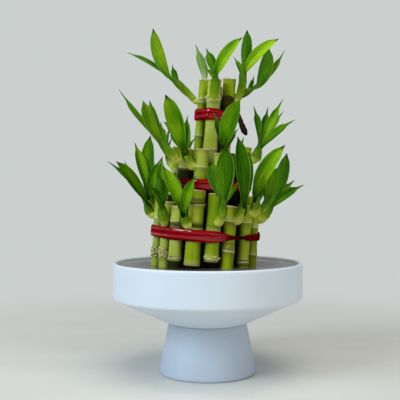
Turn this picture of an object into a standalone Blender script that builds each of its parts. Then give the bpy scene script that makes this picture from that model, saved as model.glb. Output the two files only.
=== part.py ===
"""Lucky bamboo tower: three tiers of tied canes with leaf shoots, standing in a footed bowl.

+Z is up, -Y is the front, and the origin is the middle of the stand's foot on the table.
The tied bundle leans a little to the right. Its canes and ties are laid out in a bundle
frame: u to the right, v to the back, and h along the canes, which equals the height over
the table where the bundle's axis crosses the pivot. All sizes are in millimetres and become
metres when a mesh is made.
"""
import math
from collections import namedtuple

import bmesh
import bpy
import numpy as np
from mathutils import Matrix, Vector

MM = 0.001
GAP = 0.3
MERGE = 0.00001

# bowl and stand
BOWL_RADIUS = 75.0
BOWL_WALL = 3.2
RIM_HEIGHT = 87.0
BAND_FOOT = 59.2
BAND_CORNER = 2.5
BOWL_SEAT = 39.4
BOWL_FLOOR = 43.5
STAND_TOP_RADIUS = 31.0
STAND_FOOT_RADIUS = 38.6
STAND_WALL = 4.2
FOOT_EDGE = 1.8
WATER_LEVEL = 85.2
TURNED_STEPS = 56

# the bundle's frame
LEAN = math.radians(4.0)
PIVOT = Vector((-3.0, 0.0, 85.0))
WATER_HOLE_RADIUS = 45.2
CANE_SIDES = 12
JOINT_DEPTH = 14.0
JOINT_HALF_HEIGHT = 2.0
JOINT_SWELL = 0.25

# ribbon ties: height of the middle, height of the band, thickness
TIE_THICKNESS = 0.8
TIES = {
    "low_tie": ("low_cane", 110.0, 9.0),
    "middle_tie": ("middle_cane", 148.4, 8.0),
    "top_tie": ("tall_cane", 203.5, 9.5),
}

# shoots
STEM_FOOT_RADIUS = 2.6
STEM_NECK_RADIUS = 2.0
STEM_POINTS = 5
LEAF_HALF_THICKNESS = 0.55
LEAF_STATIONS = (0.0, 0.1, 0.27, 0.47, 0.67, 0.85, 1.0)
LEAF_FACE_RISE = math.radians(35.0)
LEAF_REACH = 0.4
LEAF_ROOT_FIRST = 0.88
LEAF_ROOT_STEP = 0.09

# Azimuths are degrees from the front (-Y) toward the right (+X), seen from above.
Cane = namedtuple("Cane", "name azimuth distance diameter top bottom", defaults=(None,))
CANES = [
    Cane("low_cane_01", -80.7, 37.3, 11.0, 136.0),
    Cane("low_cane_02", -56.3, 36.0, 10.5, 133.0),
    Cane("low_cane_03", -36.0, 38.3, 11.3, 130.3),
    Cane("low_cane_04", -13.5, 38.0, 12.6, 143.0, 87.2),
    Cane("low_cane_05", 7.6, 37.8, 11.5, 141.5, 90.8),
    Cane("low_cane_06", 25.9, 37.8, 10.6, 133.2),
    Cane("low_cane_07", 50.4, 37.6, 10.2, 134.0),
    Cane("low_cane_08", 75.8, 36.6, 11.0, 142.0),
    Cane("low_cane_09", 98.0, 37.0, 10.8, 136.0),
    Cane("low_cane_10", 120.5, 37.5, 11.4, 133.0),
    Cane("low_cane_11", 143.0, 37.2, 10.6, 140.0),
    Cane("low_cane_12", 165.5, 37.8, 11.8, 135.0),
    Cane("low_cane_13", 188.0, 37.0, 11.0, 131.0),
    Cane("low_cane_14", 210.5, 37.6, 12.0, 138.0),
    Cane("low_cane_15", 233.0, 37.2, 10.8, 134.0),
    Cane("low_cane_16", 256.0, 37.0, 11.4, 139.0),
    Cane("middle_cane_1", -54.0, 24.2, 12.0, 174.8),
    Cane("middle_cane_2", -18.0, 25.3, 11.2, 174.3),
    Cane("middle_cane_3", 15.0, 25.3, 11.0, 172.0),
    Cane("middle_cane_4", 87.0, 27.3, 10.0, 180.8),
    Cane("middle_cane_5", 125.0, 25.3, 11.0, 176.0),
    Cane("middle_cane_6", 172.0, 25.3, 11.4, 178.0),
    Cane("middle_cane_7", 222.0, 25.3, 10.6, 173.0),
    Cane("middle_cane_8", 268.0, 25.5, 11.0, 177.0),
    Cane("tall_cane_left", -83.7, 9.2, 10.5, 231.6),
    Cane("tall_cane_front", -10.0, 10.2, 11.7, 230.7),
    Cane("tall_cane_right", 78.6, 10.1, 11.0, 233.8),
    Cane("tall_cane_back", 176.8, 9.0, 10.8, 228.0),
]

# A shoot leaves its cane at the foot (azimuth, height) and rises to its neck, where the
# leaves part. A leaf is its tip (x, y, z), its width and the azimuth that its face looks to.
Shoot = namedtuple("Shoot", "name cane azimuth height neck leaves")
SHOOTS = [
    Shoot("top_shoot_left", "tall_cane_left", -90, 215, (-29, -4, 232.5), [
        (-42.5, -13, 270, 10.5, 0), (-64, -2, 253.5, 8.0, 50), (-28, -1, 244, 5.0, 0)]),
    Shoot("top_shoot_pale", "tall_cane_left", 170, 222, (-4, 8, 238), [
        (-9, 12, 262, 7.0, 0), (-2, 16, 253, 6.0, 0)]),
    Shoot("top_shoot_front", "tall_cane_front", 5, 215, (6, -22, 231), [
        (-1.5, -26, 251.5, 7.5, -10), (26, -34, 258, 10.5, 0), (-3.5, -27, 237, 4.0, 0)]),
    Shoot("top_shoot_right", "tall_cane_right", 75, 215.5, (28, -8, 237.5), [
        (30.5, -14, 268.5, 10.0, -25), (55, -18, 260.5, 10.0, 20), (20.5, -2, 250, 4.5, 0)]),
    Shoot("top_shoot_back", "tall_cane_back", 100, 211, (41, 9, 227.5), [
        (49, 8, 259, 12.0, 0), (65, 22, 260, 9.0, 50), (37.5, 4, 236, 4.0, 0)]),
    Shoot("middle_shoot_left", "middle_cane_1", -85, 167, (-37, -16, 182), [
        (-68, -24, 220.5, 9.0, 35), (-48.5, -36, 210.5, 10.0, 0), (-45, -14, 213.5, 9.0, 10),
        (-37, -5, 198, 6.0, 20)]),
    Shoot("middle_shoot_front_left", "middle_cane_2", -70, 162, (-18, -31, 176), [
        (-31.5, -42, 214, 13.0, -5), (-15, -28, 200.5, 6.0, 0), (-31, -22, 191, 6.0, -20)]),
    Shoot("middle_shoot_front_right", "middle_cane_3", 20, 163, (11, -37, 179.5), [
        (23.5, -48, 209.5, 13.0, 5), (4, -42, 200.5, 6.0, -20), (23, -30, 190, 6.0, 0)]),
    Shoot("middle_shoot_right", "middle_cane_4", 80, 168, (40.5, -4, 179.5), [
        (35.5, -14, 209.5, 6.5, -20), (49, 8, 211.5, 7.0, 0), (59.5, -8, 215.5, 8.0, 20),
        (63, 18, 209.5, 6.0, 30), (68.5, -12, 198.5, 8.0, 30)]),
    Shoot("low_shoot_01", "low_cane_01", -95, 125, (-47.5, -10, 134.5), [
        (-77, -20, 166, 7.0, 40), (-69.5, -28, 165.5, 11.0, 10), (-66.5, 2, 167.5, 6.0, 0)]),
    Shoot("low_shoot_02", "low_cane_02", -15, 119, (-36, -33, 140.5), [
        (-35.5, -44, 154, 9.0, 0), (-27.5, -38, 152.5, 7.0, 0), (-34.5, -30, 169, 8.0, 0),
        (-42.5, -44, 147, 8.0, 20)]),
    Shoot("low_shoot_04", "low_cane_04", -60, 122, (-18.5, -47, 135), [
        (-31.5, -56, 162.5, 9.0, 0), (-9, -56, 152.5, 7.0, 15), (-23.5, -42, 160, 7.0, -10)]),
    Shoot("low_shoot_05", "low_cane_05", 30, 120, (9.5, -51, 141), [
        (0.5, -56, 162.5, 6.5, -15), (12.5, -62, 174.5, 13.0, 3), (25, -40, 148, 6.0, 60)]),
    Shoot("low_shoot_06", "low_cane_06", 60, 121, (25.5, -45, 141), [
        (21, -54, 182, 11.0, 0), (30, -40, 171.5, 10.0, -10)]),
    Shoot("low_shoot_07", "low_cane_07", 60, 126, (32, -35, 143.5), [
        (56.5, -44, 176.5, 12.0, 10), (47, -26, 161.5, 8.0, 0)]),
    Shoot("low_shoot_08", "low_cane_08", 85, 121, (51, -12, 136), [
        (60, -26, 172, 10.5, 0), (70, 2, 152.5, 6.0, 30), (75, -16, 148, 7.0, 45)]),
    Shoot("low_shoot_09", "low_cane_09", 95, 124, (47, 10, 139.5), [
        (46.5, 14, 169, 8.0, 0), (60, 22, 165, 9.0, 20), (63.5, 26, 146, 7.0, 40)]),
    Shoot("low_shoot_16", "low_cane_16", -105, 127, (-47, 7, 148.5), [
        (-59, 10, 183, 8.0, 0), (-46.5, 14, 189, 11.5, 0), (-36, 4, 171, 7.0, 0)]),
]

# A shoot at the back has the form of one at the front, turned round the bundle with its cane.
TurnedShoot = namedtuple("TurnedShoot", "name cane source height size")
TURNED_SHOOTS = [
    TurnedShoot("middle_shoot_6", "middle_cane_6", "middle_shoot_front_right", 166, 0.95),
    TurnedShoot("middle_shoot_7", "middle_cane_7", "middle_shoot_left", 164, 0.92),
    TurnedShoot("middle_shoot_8", "middle_cane_8", "middle_shoot_front_left", 163, 0.95),
    TurnedShoot("low_shoot_10", "low_cane_10", "low_shoot_01", 123, 0.95),
    TurnedShoot("low_shoot_11", "low_cane_11", "low_shoot_16", 128, 1.0),
    TurnedShoot("low_shoot_12", "low_cane_12", "low_shoot_07", 126, 1.0),
    TurnedShoot("low_shoot_14", "low_cane_14", "low_shoot_04", 124, 1.0),
    TurnedShoot("low_shoot_15", "low_cane_15", "low_shoot_08", 122, 0.95),
]


def clear_scene():
    for old in list(bpy.data.objects):
        bpy.data.objects.remove(old, do_unlink=True)


def new_collection(name):
    collection = bpy.data.collections.new(name)
    bpy.context.scene.collection.children.link(collection)
    return collection


def material(name, color, roughness, metallic=0.0):
    made = bpy.data.materials.new(name)
    made.use_nodes = True
    shader = made.node_tree.nodes["Principled BSDF"]
    shader.inputs["Base Color"].default_value = (*color, 1.0)
    shader.inputs["Roughness"].default_value = roughness
    shader.inputs["Metallic"].default_value = metallic
    return made


def mesh_object(name, points, faces, collection, finish=None):
    """An object from points in millimetres and faces."""
    mesh = bpy.data.meshes.new(name)
    mesh.from_pydata([tuple(MM * c for c in point) for point in points], [], faces)
    made = bpy.data.objects.new(name, mesh)
    collection.objects.link(made)
    if finish:
        mesh.materials.append(finish)
    return made


def as_cutter(cutter):
    cutter.display_type = "WIRE"
    cutter.hide_render = True


def boolean(target, operand, operation):
    modifier = target.modifiers.new(operation.lower(), "BOOLEAN")
    modifier.operation = operation
    modifier.object = operand


# ---- bundle frame -------------------------------------------------------------------------

BUNDLE_TURN = Matrix.Rotation(LEAN, 4, "Y")


def bundle_point(u, v, h):
    """The place in the object's frame of a point given in the bundle frame."""
    return PIVOT + BUNDLE_TURN @ Vector((u, v, h - PIVOT.z))


def toward(azimuth):
    """The level direction that an azimuth looks to."""
    angle = math.radians(azimuth)
    return Vector((math.sin(angle), -math.cos(angle), 0.0))


def cane_centre(cane):
    """The u and v of a cane's centre line."""
    spot = cane.distance * toward(cane.azimuth)
    return spot.x, spot.y


def cane_axis_at(cane, height):
    """The point of a cane's centre line at a height over the table."""
    u, v = cane_centre(cane)
    low = bundle_point(u, v, PIVOT.z)
    along = BUNDLE_TURN @ Vector((0.0, 0.0, 1.0))
    return low + along * ((height - low.z) / along.z)


# ---- bowl, stand and water ----------------------------------------------------------------

UNDERSIDE_SLOPE = (BAND_FOOT - BOWL_SEAT) / (BOWL_RADIUS - STAND_TOP_RADIUS)
INNER_RADIUS = BOWL_RADIUS - BOWL_WALL


def arc(centre_r, centre_z, radius, start, end, steps):
    """Points of a profile's arc, with angles in degrees from +r toward +z."""
    angles = np.radians(np.linspace(start, end, steps))
    return [(centre_r + radius * math.cos(a), centre_z + radius * math.sin(a)) for a in angles]


def turned(name, profile, steps, collection, finish):
    """A profile of (r, z) points, top to bottom on its outer side, turned round the Z axis."""
    mesh = bpy.data.meshes.new(name)
    edges = [(i, i + 1) for i in range(len(profile) - 1)]
    mesh.from_pydata([(MM * r, 0.0, MM * z) for r, z in profile], edges, [])
    made = bpy.data.objects.new(name, mesh)
    collection.objects.link(made)
    mesh.materials.append(finish)
    screw = made.modifiers.new("turn", "SCREW")
    screw.steps = steps
    screw.render_steps = steps
    screw.use_merge_vertices = True
    screw.merge_threshold = MERGE
    screw.use_smooth_shade = True
    return made


def inner_floor(radius):
    """Height of the bowl's inner floor at a radius: level, then parallel to the underside."""
    return BOWL_FLOOR + UNDERSIDE_SLOPE * max(0.0, radius - STAND_TOP_RADIUS)


def make_bowl(parts, finish):
    lip = BOWL_WALL / 2
    slope = math.degrees(math.atan(UNDERSIDE_SLOPE))
    corner_r = BOWL_RADIUS - BAND_CORNER
    corner_z = BAND_FOOT + BAND_CORNER * 0.8
    profile = [(0.0, BOWL_FLOOR), (STAND_TOP_RADIUS, BOWL_FLOOR)]
    profile.append((INNER_RADIUS - 4.0, inner_floor(INNER_RADIUS - 4.0)))
    profile.append((INNER_RADIUS - 1.0, inner_floor(INNER_RADIUS) + 1.5))
    profile.append((INNER_RADIUS, inner_floor(INNER_RADIUS) + 5.0))
    profile += arc(BOWL_RADIUS - lip, RIM_HEIGHT - lip, lip, 180, 0, 7)
    profile += arc(corner_r, corner_z, BAND_CORNER, 0, slope - 90, 5)
    profile += [(STAND_TOP_RADIUS + 0.6, BOWL_SEAT), (0.0, BOWL_SEAT)]
    return turned("bowl", profile, TURNED_STEPS, parts, finish)


def make_stand(parts, finish):
    top = BOWL_SEAT - GAP
    foot_r = STAND_FOOT_RADIUS - FOOT_EDGE
    slope = (STAND_FOOT_RADIUS - STAND_TOP_RADIUS) / (top - FOOT_EDGE)
    roof = top - STAND_WALL
    profile = [(0.0, top), (STAND_TOP_RADIUS - 0.8, top), (STAND_TOP_RADIUS, top - 0.8)]
    profile += arc(foot_r, FOOT_EDGE, FOOT_EDGE, 0, -90, 5)
    inside = STAND_FOOT_RADIUS - STAND_WALL
    profile += [(inside - 0.6, 0.0), (inside - 1.2, 0.8)]
    profile += [(inside - 1.2 - slope * (roof - 3.0), roof - 2.2), (22.0, roof), (0.0, roof)]
    return turned("stand", profile, TURNED_STEPS, parts, finish)


def make_water(parts, cutters, finish):
    wall = INNER_RADIUS - GAP
    bottom = inner_floor(wall) + 5.0
    profile = [(0.0, WATER_LEVEL), (wall, WATER_LEVEL), (wall, bottom + GAP)]
    profile.append((wall - 1.0, bottom - 3.5 + GAP))
    profile.append((wall - 4.0, inner_floor(wall - 4.0) + 2 * GAP))
    profile += [(STAND_TOP_RADIUS, BOWL_FLOOR + GAP), (0.0, BOWL_FLOOR + GAP)]
    water = turned("water", profile, TURNED_STEPS, parts, finish)
    bpy.ops.mesh.primitive_cylinder_add(
        vertices=TURNED_STEPS, radius=MM * WATER_HOLE_RADIUS, depth=MM * 120.0,
        location=MM * PIVOT, rotation=(0.0, LEAN, 0.0))
    cutter = bpy.context.object
    cutter.name = "bundle_room"
    for holder in cutter.users_collection:
        holder.objects.unlink(cutter)
    cutters.objects.link(cutter)
    as_cutter(cutter)
    boolean(water, cutter, "DIFFERENCE")


# ---- canes and ties -----------------------------------------------------------------------

def cane_bottom(cane):
    """Where a cane is cut: as listed, or just clear of the bowl's sloping floor."""
    if cane.bottom is not None:
        return cane.bottom
    spot = cane_axis_at(cane, BOWL_FLOOR)
    reach = math.hypot(spot.x, spot.y) + cane.diameter / 2
    u, _ = cane_centre(cane)
    tilt_room = math.sin(LEAN) * (u + cane.diameter / 2)
    return inner_floor(reach) + 2 * GAP + max(0.0, tilt_room)


def cane_profile(radius, length):
    """A cane's outline from its top to its foot: straight, with one swollen joint."""
    joint = length - JOINT_DEPTH
    return [(0.0, length), (radius, length), (radius, joint + JOINT_HALF_HEIGHT),
            (radius + JOINT_SWELL, joint), (radius, joint - JOINT_HALF_HEIGHT),
            (radius, 0.0), (0.0, 0.0)]


def make_cane(cane, parts, finish):
    u, v = cane_centre(cane)
    bottom = cane_bottom(cane)
    profile = cane_profile(cane.diameter / 2 - JOINT_SWELL, cane.top - bottom)
    made = turned(cane.name, profile, CANE_SIDES, parts, finish)
    made.matrix_world = Matrix.Translation(MM * bundle_point(u, v, bottom)) @ BUNDLE_TURN


def outline_round(canes, distance):
    """The tight line round a group of canes, a set distance outside them, in u and v."""
    points = []
    for cane in canes:
        u, v = cane_centre(cane)
        for angle in np.radians(np.arange(0, 360, 15)):
            reach = cane.diameter / 2 + distance
            points.append((round(u + reach * math.cos(angle), 6),
                           round(v + reach * math.sin(angle), 6)))
    points = sorted(set(points))

    def half(ordered):
        chain = []
        for point in ordered:
            while len(chain) > 1 and turn_of(chain[-2], chain[-1], point) <= 0:
                chain.pop()
            chain.append(point)
        return chain[:-1]

    return half(points) + half(points[::-1])


def turn_of(a, b, c):
    return (b[0] - a[0]) * (c[1] - a[1]) - (b[1] - a[1]) * (c[0] - a[0])


def make_tie(name, group, middle, height, parts, finish):
    """A closed band round a tier: an open strip with its thickness on the outside."""
    line = outline_round([cane for cane in CANES if cane.name.startswith(group)], GAP)
    count = len(line)
    points = [bundle_point(u, v, middle + side * height / 2) for side in (-1, 1) for u, v in line]
    faces = [[i, (i + 1) % count, (i + 1) % count + count, i + count] for i in range(count)]
    made = mesh_object(name, points, faces, parts, finish)
    shell = made.modifiers.new("thickness", "SOLIDIFY")
    shell.thickness = MM * TIE_THICKNESS
    shell.offset = 1.0


def face_outward(mesh):
    made = bmesh.new()
    made.from_mesh(mesh)
    bmesh.ops.triangulate(made, faces=made.faces)
    bmesh.ops.recalc_face_normals(made, faces=made.faces)
    made.to_mesh(mesh)
    made.free()


# ---- shoots -------------------------------------------------------------------------------

def tube_faces(rings, sides):
    """Faces of a closed tube of rings of points, with an end face at each end."""
    faces = [list(range(sides))[::-1]]
    for ring in range(rings - 1):
        for side in range(sides):
            a = ring * sides + side
            b = ring * sides + (side + 1) % sides
            faces.append([a, b, b + sides, a + sides])
    faces.append([(rings - 1) * sides + side for side in range(sides)])
    return faces


def curve_point(start, middle, end, t):
    """A point of the quadratic curve from start to end that leaves start toward middle."""
    return start * (1 - t) ** 2 + middle * (2 * t * (1 - t)) + end * t ** 2


def curve_heading(start, middle, end, t):
    return ((middle - start) * (1 - t) + (end - middle) * t).normalized()


def leaf_half_width(width, t):
    """A lance shape: a clasping foot, widest before the middle, a long fine tip."""
    blade = math.sin(math.pi * min(1.0, t ** 0.8)) ** 0.9 if 0 < t < 1 else 0.0
    return max(0.25, width / 2 * blade, 1.3 * (1 - 3 * t))


def leaf_sections(root, heading, leaf):
    """Four-cornered sections of a leaf blade from inside the stem to its tip."""
    tip = Vector(leaf[:3])
    width, face = leaf[3:]
    reach = root + heading * (LEAF_REACH * (tip - root).length)
    look = toward(face) * math.cos(LEAF_FACE_RISE) + Vector((0, 0, math.sin(LEAF_FACE_RISE)))
    sections = []
    for t in LEAF_STATIONS:
        centre = curve_point(root, reach, tip, t)
        ahead = curve_heading(root, reach, tip, t)
        normal = (look - ahead * look.dot(ahead)).normalized()
        across = ahead.cross(normal)
        half = leaf_half_width(width, t)
        thick = LEAF_HALF_THICKNESS * (1.5 - 1.1 * t)
        sections.append([centre + across * half, centre + normal * thick,
                         centre - across * half, centre - normal * thick])
    return sections


def make_leaf(name, leaf, root, heading, cutters):
    points = [point for section in leaf_sections(root, heading, leaf) for point in section]
    made = mesh_object(name, points, tube_faces(len(LEAF_STATIONS), 4), cutters)
    face_outward(made.data)
    as_cutter(made)
    return made


def stem_line(shoot):
    """The three points that guide a shoot's stem, from its cane to its neck."""
    cane = next(cane for cane in CANES if cane.name == shoot.cane)
    out = toward(shoot.azimuth)
    clear = cane.diameter / 2 + GAP + STEM_FOOT_RADIUS * 0.6
    foot = cane_axis_at(cane, shoot.height) + out * clear
    neck = Vector(shoot.neck)
    bend = foot + out * (0.3 * (neck - foot).length) + Vector((0, 0, 0.15 * (neck - foot).length))
    return foot, bend, neck


def stem_mesh(shoot):
    """The stem as a welded mesh, from a tapering round curve with filled caps."""
    foot, bend, neck = stem_line(shoot)
    curve = bpy.data.curves.new(shoot.name, "CURVE")
    curve.dimensions = "3D"
    curve.bevel_depth = MM
    curve.bevel_resolution = 2
    curve.use_fill_caps = True
    spline = curve.splines.new("POLY")
    spline.points.add(STEM_POINTS - 1)
    for point, t in zip(spline.points, np.linspace(0, 1, STEM_POINTS)):
        place = curve_point(foot, bend, neck, t)
        point.co = (*(MM * place), 1.0)
        point.radius = STEM_FOOT_RADIUS + (STEM_NECK_RADIUS - STEM_FOOT_RADIUS) * t
    guide = bpy.data.objects.new(shoot.name + "_curve", curve)
    bpy.context.scene.collection.objects.link(guide)
    ready = guide.evaluated_get(bpy.context.evaluated_depsgraph_get())
    mesh = bpy.data.meshes.new_from_object(ready)
    bpy.data.objects.remove(guide, do_unlink=True)
    welded = bmesh.new()
    welded.from_mesh(mesh)
    bmesh.ops.remove_doubles(welded, verts=welded.verts, dist=MERGE)
    welded.to_mesh(mesh)
    welded.free()
    return mesh


def make_shoot(shoot, parts, cutters, finish):
    made = bpy.data.objects.new(shoot.name, stem_mesh(shoot))
    made.data.materials.clear()
    made.data.materials.append(finish)
    parts.objects.link(made)
    guide = stem_line(shoot)
    for order, leaf in enumerate(shoot.leaves):
        along = LEAF_ROOT_FIRST - LEAF_ROOT_STEP * order
        root = curve_point(*guide, along)
        name = f"{shoot.name}_leaf_{order + 1}"
        boolean(made, make_leaf(name, leaf, root, curve_heading(*guide, along), cutters), "UNION")


def turned_shoot(entry):
    """A front shoot's form moved to another cane, turned by the angle between the canes."""
    canes = {cane.name: cane for cane in CANES}
    source = next(shoot for shoot in SHOOTS if shoot.name == entry.source)
    old = canes[source.cane]
    new = canes[entry.cane]
    angle = new.azimuth - old.azimuth
    turn = Matrix.Rotation(math.radians(angle), 3, "Z") * entry.size
    here = cane_axis_at(old, source.height)
    there = cane_axis_at(new, entry.height)

    def moved(point):
        return there + turn @ (Vector(point) - here)

    leaves = [(*moved(leaf[:3]), leaf[3], leaf[4] + angle) for leaf in source.leaves]
    return Shoot(entry.name, entry.cane, source.azimuth + angle, entry.height,
                 moved(source.neck), leaves)


def main():
    clear_scene()
    parts = new_collection("lucky_bamboo")
    cutters = new_collection("cutters")
    ceramic = material("blue_white_ceramic", (0.62, 0.70, 0.78), 0.45)
    liquid = material("water", (0.30, 0.31, 0.30), 0.05)
    stalk = material("cane", (0.36, 0.50, 0.10), 0.4)
    leaf = material("leaf", (0.10, 0.33, 0.04), 0.35)
    ribbon = material("red_ribbon", (0.45, 0.01, 0.02), 0.2)
    make_bowl(parts, ceramic)
    make_stand(parts, ceramic)
    make_water(parts, cutters, liquid)
    for cane in CANES:
        make_cane(cane, parts, stalk)
    for name, (group, middle, height) in TIES.items():
        make_tie(name, group, middle, height, parts, ribbon)
    for shoot in SHOOTS + [turned_shoot(entry) for entry in TURNED_SHOOTS]:
        make_shoot(shoot, parts, cutters, leaf)


main()
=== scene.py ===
"""Lucky bamboo tower in a footed bowl: the visible surfaces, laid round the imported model.

Sizes and places are in millimetres and become metres when a mesh is made. The tied bundle
leans to the right, so canes and ties are worked out in its own frame: u to the right, v to
the back and h along the canes. Azimuths are degrees from the front toward the right.
"""
import math
from collections import namedtuple

import bpy
import numpy as np
from bpy.props import FloatProperty, FloatVectorProperty, IntProperty, PointerProperty
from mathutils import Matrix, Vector


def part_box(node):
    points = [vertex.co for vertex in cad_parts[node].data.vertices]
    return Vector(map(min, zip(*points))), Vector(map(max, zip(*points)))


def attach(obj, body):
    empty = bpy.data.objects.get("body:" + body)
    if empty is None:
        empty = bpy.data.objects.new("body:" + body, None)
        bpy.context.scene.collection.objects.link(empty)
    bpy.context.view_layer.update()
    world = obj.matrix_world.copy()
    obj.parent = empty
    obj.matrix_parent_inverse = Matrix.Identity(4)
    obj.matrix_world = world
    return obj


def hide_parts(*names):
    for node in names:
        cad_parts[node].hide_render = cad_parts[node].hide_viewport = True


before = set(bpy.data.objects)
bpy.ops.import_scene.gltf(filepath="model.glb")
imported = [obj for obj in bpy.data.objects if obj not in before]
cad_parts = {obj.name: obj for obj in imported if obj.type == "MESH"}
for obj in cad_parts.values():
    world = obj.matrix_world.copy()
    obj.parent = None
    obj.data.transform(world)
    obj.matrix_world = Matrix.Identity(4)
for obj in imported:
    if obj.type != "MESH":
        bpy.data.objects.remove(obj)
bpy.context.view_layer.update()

bl_info = {
    "name": "Lucky bamboo tower",
    "version": (1, 0, 0),
    "blender": (4, 5, 0),
    "location": "3D View > Sidebar > Bamboo",
    "description": "Builds a tiered lucky bamboo plant tied with ribbon in a footed bowl of water",
    "category": "Add Mesh",
}

MM = 0.001
ROOT = "root"


# ---- plain mathematics --------------------------------------------------------------------

def unit(vectors):
    """The vectors at length one."""
    return vectors / np.linalg.norm(vectors, axis=-1, keepdims=True)


def eased(x):
    """Zero below 0, one above 1, and a smooth cubic between."""
    x = np.clip(x, 0.0, 1.0)
    return x * x * (3.0 - 2.0 * x)


def hill(distance, width):
    """A bell of height one."""
    return np.exp(-(distance / width) ** 2)


def circle(steps):
    """Angles all round, evenly spaced and without the closing one."""
    return np.linspace(0.0, 2 * math.pi, steps, endpoint=False)


def toward(azimuth):
    """The level direction of an azimuth."""
    angle = np.radians(azimuth)
    return np.array([math.sin(angle), -math.cos(angle), 0.0])


def across_from(vectors, axis):
    """The vectors without their share along an axis, at length one."""
    return unit(vectors - axis * np.sum(vectors * axis, axis=-1, keepdims=True))


def tint(red, green, blue):
    """A display colour from 0 to 255 as the linear colour that a shader takes."""
    share = np.array([red, green, blue]) / 255.0
    linear = np.where(share <= 0.04045, share / 12.92, ((share + 0.055) / 1.055) ** 2.4)
    return (*(float(c) for c in linear), 1.0)


def node_box(node):
    """A CAD node's lowest and highest corner in millimetres."""
    low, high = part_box(node)
    return np.array(low) / MM, np.array(high) / MM


# ---- the bundle's frame -------------------------------------------------------------------

LEAN = math.radians(4.0)
PIVOT = np.array([-3.0, 0.0, 85.0])
TURN = np.array([
    [math.cos(LEAN), 0.0, math.sin(LEAN)],
    [0.0, 1.0, 0.0],
    [-math.sin(LEAN), 0.0, math.cos(LEAN)],
])
ALONG = TURN @ np.array([0.0, 0.0, 1.0])


def from_bundle(points):
    """Points given as (u, v, h), turned about the pivot into the model's frame."""
    return PIVOT + (points - [0.0, 0.0, PIVOT[2]]) @ TURN.T


def to_bundle(points):
    """Points of the model's frame as (u, v, h)."""
    return (points - PIVOT) @ TURN + [0.0, 0.0, PIVOT[2]]


Cane = namedtuple("Cane", "name u v radius bottom top")


def read_cane(node):
    """A cane from its CAD box, whose middle is on the cane's axis and whose depth is its width."""
    low, high = node_box(node)
    u, v, h = to_bundle((low + high) / 2)
    width = high[1] - low[1]
    length = (high[2] - low[2] - width * math.sin(LEAN)) / math.cos(LEAN)
    return Cane(node, u, v, width / 2, h - length / 2, h + length / 2)


CANES = {name: read_cane(name) for name in sorted(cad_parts) if "_cane_" in name}


def axis_at(cane, height):
    """The point of a cane's axis at a height over the table."""
    low = from_bundle(np.array([cane.u, cane.v, PIVOT[2]]))
    return low + ALONG * ((height - low[2]) / ALONG[2])


# ---- meshes -------------------------------------------------------------------------------

class Skin:
    """A closed skin through rings of points, with its values, each a grid like the rings.

    Points (i, j) are joined to their neighbours along i and, all the way round, along j. A
    skin with ends closes on one point at each end, and a skin without ends joins its last
    ring to its first.
    """

    def __init__(self, rings, values, ends=True):
        count, sides = rings.shape[:2]
        self.points = rings.reshape(-1, 3)
        self.values = {name: np.broadcast_to(grid, (count, sides)).ravel()
                       for name, grid in values.items()}
        index = np.arange(count * sides).reshape(count, sides)
        here = index[:-1] if ends else index
        above = index[1:] if ends else np.roll(index, -1, axis=0)
        loop = [here, np.roll(here, -1, axis=1), np.roll(above, -1, axis=1), above]
        self.quads = np.stack([part.ravel() for part in loop], axis=1)
        self.fans = np.zeros((0, 3), int)
        if ends:
            self.close(index, rings)
        if self.volume() < 0:
            self.quads = self.quads[:, ::-1]
            self.fans = self.fans[:, ::-1]

    def close(self, index, rings):
        """Adds the two end points and the fans of triangles that meet there."""
        low, high = index.size, index.size + 1
        self.points = np.vstack([self.points, rings[0].mean(axis=0), rings[-1].mean(axis=0)])
        for name, flat in self.values.items():
            grid = flat.reshape(index.shape)
            self.values[name] = np.append(flat, [grid[0].mean(), grid[-1].mean()])
        first, last = index[0], index[-1]
        bottom = np.stack([np.roll(first, -1), first, np.full_like(first, low)], axis=1)
        top = np.stack([last, np.roll(last, -1), np.full_like(last, high)], axis=1)
        self.fans = np.vstack([bottom, top])

    def volume(self):
        """Six times the signed volume, from the triangles' triple products."""
        triangles = np.vstack([self.quads[:, :3], self.quads[:, [0, 2, 3]], self.fans])
        a, b, c = (self.points[triangles[:, k]] for k in range(3))
        return float(np.sum(a * np.cross(b, c)))


def add_object(name, data):
    """A new object in the scene that shows the data."""
    made = bpy.data.objects.new(name, data)
    bpy.context.scene.collection.objects.link(made)
    return made


def make_piece(name, nodes, skins, finish):
    """Joins skins into one piece that stands for CAD nodes and moves with their body."""
    values = {key for skin in skins for key in skin.values}
    points, faces, start = [], [], 0
    for skin in skins:
        points.append(skin.points * MM)
        faces += (skin.quads + start).tolist() + (skin.fans + start).tolist()
        start += len(skin.points)
    mesh = bpy.data.meshes.new(name)
    mesh.from_pydata(np.vstack(points), [], faces)
    mesh.polygons.foreach_set("use_smooth", np.ones(len(faces), bool))
    for key in sorted(values):
        flat = [skin.values.get(key, np.zeros(len(skin.points))) for skin in skins]
        layer = mesh.attributes.new(key, "FLOAT", "POINT")
        layer.data.foreach_set("value", np.concatenate(flat).astype(np.float32))
    mesh.update()
    mesh.materials.append(finish)
    piece = add_object(name, mesh)
    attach(piece, ROOT)
    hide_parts(*nodes)


# ---- finishes -----------------------------------------------------------------------------

class Wire:
    """A socket that carries numbers: arithmetic on it adds Math nodes."""

    def __init__(self, finish, socket):
        self.finish = finish
        self.socket = socket

    def maths(self, operation, *terms):
        return self.finish.node("ShaderNodeMath", {"operation": operation}, dict(enumerate(terms)))

    def __add__(self, other):
        return self.maths("ADD", self, other)

    def __sub__(self, other):
        return self.maths("SUBTRACT", self, other)

    def __rsub__(self, other):
        return self.maths("SUBTRACT", other, self)

    def __mul__(self, other):
        return self.maths("MULTIPLY", self, other)

    __radd__ = __add__
    __rmul__ = __mul__


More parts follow.
